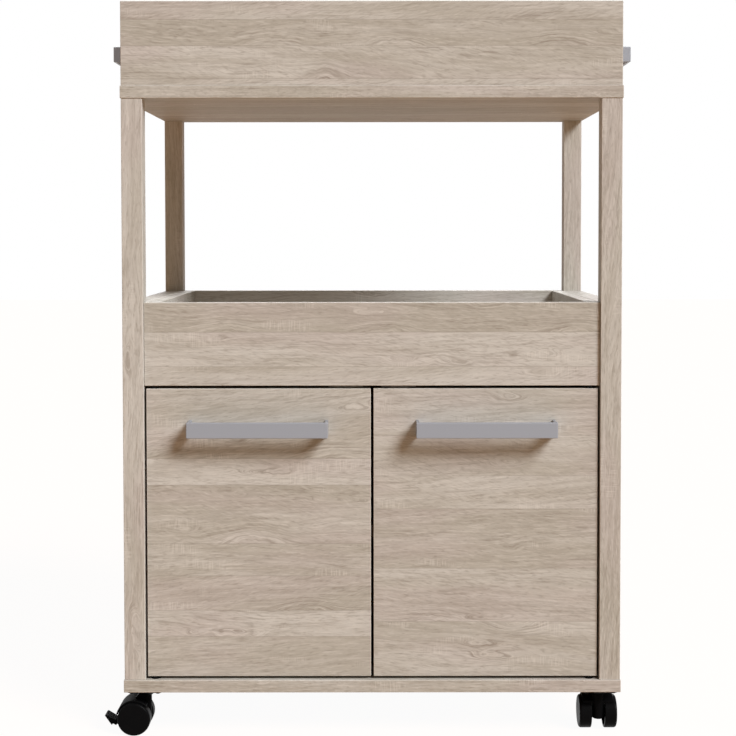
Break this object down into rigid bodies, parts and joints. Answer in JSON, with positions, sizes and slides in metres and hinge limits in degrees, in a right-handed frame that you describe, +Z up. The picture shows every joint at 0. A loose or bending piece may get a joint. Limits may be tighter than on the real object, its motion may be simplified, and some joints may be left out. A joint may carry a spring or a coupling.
{
  "type": "rolling bar cabinet",
  "caption": "Rolling bar cabinet in pale oak melamine with a walled top tray, an open bay, a bottle tray and a two-door cupboard on twin-wheel castors.",
  "frame": {"origin": "on the floor, under the middle of the cabinet's bounding box", "axes": "+X to the right seen from the front, +Y from the doors to the back, +Z up"},
  "size_m": [0.654, 0.423, 0.885],
  "materials": {
    "oak_board": "matt pale grey-beige oak-print melamine, grain along the board",
    "oak_post": "matt pale grey-beige oak-print melamine, grain upright",
    "oak_door": "matt pale grey-beige oak-print melamine, grain across the door",
    "back_board": "thin fibreboard with a matt oak-print foil",
    "handle_metal": "satin grey metallic paint on die-cast zinc",
    "steel_hardware": "zinc-plated steel",
    "cam_metal": "bare die-cast zinc alloy",
    "dowel_wood": "fluted beech, unfinished",
    "white_plastic": "moulded white nylon",
    "black_plastic": "moulded black nylon",
    "black_steel": "pressed steel, coated black",
    "castor_steel": "zinc-plated pressed steel",
    "castor_black": "moulded black nylon, satin",
    "wheel_black": "moulded black nylon, satin"
  },
  "bodies": {
    "cabinet": {"base_panel": "oak_board", "post_front_left": "oak_post", "post_front_right": "oak_post", "post_back_left": "oak_post", "post_back_right": "oak_post", "side_panel_left": "oak_board", "side_panel_right": "oak_board", "back_panel": "back_board", "bottle_tray_floor": "oak_board", "bottle_tray_front": "oak_board", "bottle_tray_back": "oak_board", "bottle_tray_left": "oak_board", "bottle_tray_right": "oak_board", "cabinet_shelf": "oak_board", "shelf_pins": "steel_hardware", "top_tray_floor": "oak_board", "top_tray_front": "oak_board", "top_tray_back": "oak_board", "top_tray_left": "oak_board", "top_tray_right": "oak_board", "tray_handle_left": "handle_metal", "tray_handle_right": "handle_metal", "tray_handle_screws": "steel_hardware", "cam_discs": "cam_metal", "cam_bolts": "steel_hardware", "dowels": "dowel_wood", "long_screws": "steel_hardware", "pivot_bushes": "black_plastic", "magnetic_catches": "white_plastic", "catch_screws": "steel_hardware", "castor_plates": "black_steel", "castor_screws": "black_steel"},
    "left_door": {"left_door": "oak_door", "left_door_handle": "handle_metal", "left_door_handle_screws": "steel_hardware", "left_door_pivots": "black_steel", "left_strike_plate": "steel_hardware"},
    "right_door": {"right_door": "oak_door", "right_door_handle": "handle_metal", "right_door_handle_screws": "steel_hardware", "right_door_pivots": "black_steel", "right_strike_plate": "steel_hardware"},
    "castor_front_left": {"castor_body_front_left": "castor_black", "castor_axle_front_left": "castor_steel"},
    "castor_wheel_a_front_left": {"castor_wheel_a_front_left": "wheel_black"},
    "castor_wheel_b_front_left": {"castor_wheel_b_front_left": "wheel_black"},
    "brake_pedal_front_left": {"brake_pedal_front_left": "castor_black"},
    "castor_front_right": {"castor_body_front_right": "castor_black", "castor_axle_front_right": "castor_steel"},
    "castor_wheel_a_front_right": {"castor_wheel_a_front_right": "wheel_black"},
    "castor_wheel_b_front_right": {"castor_wheel_b_front_right": "wheel_black"},
    "castor_back_left": {"castor_body_back_left": "castor_black", "castor_axle_back_left": "castor_steel"},
    "castor_wheel_a_back_left": {"castor_wheel_a_back_left": "wheel_black"},
    "castor_wheel_b_back_left": {"castor_wheel_b_back_left": "wheel_black"},
    "castor_back_right": {"castor_body_back_right": "castor_black", "castor_axle_back_right": "castor_steel"},
    "castor_wheel_a_back_right": {"castor_wheel_a_back_right": "wheel_black"},
    "castor_wheel_b_back_right": {"castor_wheel_b_back_right": "wheel_black"},
    "brake_pedal_back_right": {"brake_pedal_back_right": "castor_black"}
  },
  "joints": [
    {"name": "left_door_hinge", "type": "hinge", "parent": "cabinet", "child": "left_door", "pos_m": [-0.2625, -0.1775, 0.2485], "axis": [0, 0, -1], "range_deg": [0, 108]},
    {"name": "right_door_hinge", "type": "hinge", "parent": "cabinet", "child": "right_door", "pos_m": [0.2625, -0.1775, 0.2485], "axis": [0, 0, 1], "range_deg": [0, 108]},
    {"name": "castor_front_left_swivel", "type": "hinge", "parent": "cabinet", "child": "castor_front_left", "pos_m": [-0.2765, -0.161, 0.04], "axis": [0, 0, 1], "continuous": true},
    {"name": "castor_wheel_a_front_left_spin", "type": "hinge", "parent": "castor_front_left", "child": "castor_wheel_a_front_left", "pos_m": [-0.2895, -0.161, 0.02], "axis": [0, 1, 0], "continuous": true},
    {"name": "castor_wheel_b_front_left_spin", "type": "hinge", "parent": "castor_front_left", "child": "castor_wheel_b_front_left", "pos_m": [-0.2895, -0.161, 0.02], "axis": [0, 1, 0], "continuous": true},
    {"name": "brake_pedal_front_left_press", "type": "hinge", "parent": "castor_front_left", "child": "brake_pedal_front_left", "pos_m": [-0.304, -0.161, 0.0305], "axis": [0, -1, 0], "range_deg": [0, 12]},
    {"name": "castor_front_right_swivel", "type": "hinge", "parent": "cabinet", "child": "castor_front_right", "pos_m": [0.2765, -0.161, 0.04], "axis": [0, 0, 1], "continuous": true},
    {"name": "castor_wheel_a_front_right_spin", "type": "hinge", "parent": "castor_front_right", "child": "castor_wheel_a_front_right", "pos_m": [0.2765, -0.148, 0.02], "axis": [1, 0, 0], "continuous": true},
    {"name": "castor_wheel_b_front_right_spin", "type": "hinge", "parent": "castor_front_right", "child": "castor_wheel_b_front_right", "pos_m": [0.2765, -0.148, 0.02], "axis": [1, 0, 0], "continuous": true},
    {"name": "castor_back_left_swivel", "type": "hinge", "parent": "cabinet", "child": "castor_back_left", "pos_m": [-0.2765, 0.184, 0.04], "axis": [0, 0, 1], "continuous": true},
    {"name": "castor_wheel_a_back_left_spin", "type": "hinge", "parent": "castor_back_left", "child": "castor_wheel_a_back_left", "pos_m": [-0.2765, 0.171, 0.02], "axis": [1, 0, 0], "continuous": true},
    {"name": "castor_wheel_b_back_left_spin", "type": "hinge", "parent": "castor_back_left", "child": "castor_wheel_b_back_left", "pos_m": [-0.2765, 0.171, 0.02], "axis": [1, 0, 0], "continuous": true},
    {"name": "castor_back_right_swivel", "type": "hinge", "parent": "cabinet", "child": "castor_back_right", "pos_m": [0.2765, 0.184, 0.04], "axis": [0, 0, 1], "continuous": true},
    {"name": "castor_wheel_a_back_right_spin", "type": "hinge", "parent": "castor_back_right", "child": "castor_wheel_a_back_right", "pos_m": [0.2895, 0.184, 0.02], "axis": [0, 1, 0], "continuous": true},
    {"name": "castor_wheel_b_back_right_spin", "type": "hinge", "parent": "castor_back_right", "child": "castor_wheel_b_back_right", "pos_m": [0.2895, 0.184, 0.02], "axis": [0, 1, 0], "continuous": true},
    {"name": "brake_pedal_back_right_press", "type": "hinge", "parent": "castor_back_right", "child": "brake_pedal_back_right", "pos_m": [0.304, 0.184, 0.0305], "axis": [0, 1, 0], "range_deg": [0, 12]}
  ]
}
